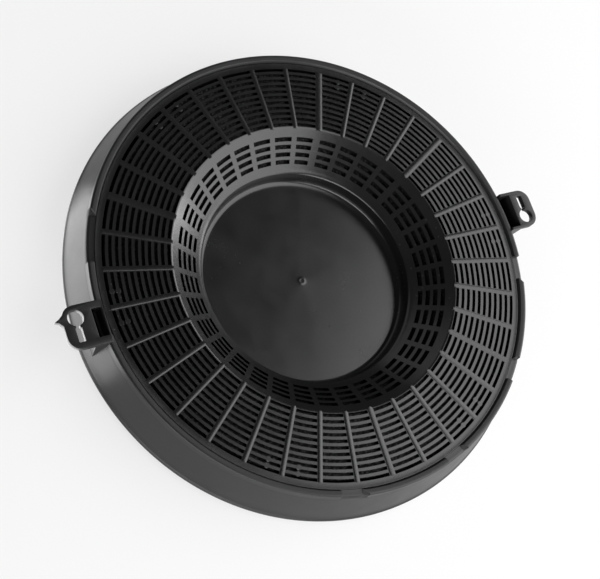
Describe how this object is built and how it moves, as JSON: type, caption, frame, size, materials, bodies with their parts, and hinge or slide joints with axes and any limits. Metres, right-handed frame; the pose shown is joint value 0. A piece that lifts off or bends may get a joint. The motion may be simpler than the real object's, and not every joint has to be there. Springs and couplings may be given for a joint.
{
  "type": "cooker hood carbon filter",
  "caption": "Round carbon filter cartridge for a cooker hood: conical plastic housing, slotted grille ring and cone, central well, and keyhole ears for mounting.",
  "frame": {"origin": "Centre of the flat back face, where the axis of the filter meets it.", "axes": "+Z runs along the filter's axis towards the slotted grille, +X through the centre of the right ear's round hole, and +Y makes the frame right-handed."},
  "size_m": [0.2632, 0.24, 0.0288],
  "materials": {
    "grille_plastic": "satin",
    "housing_plastic": "satin",
    "carbon": "matte"
  },
  "bodies": {
    "root": {"front_grille": "grille_plastic", "housing": "housing_plastic", "carbon_bed": "carbon"}
  },
  "joints": []
}
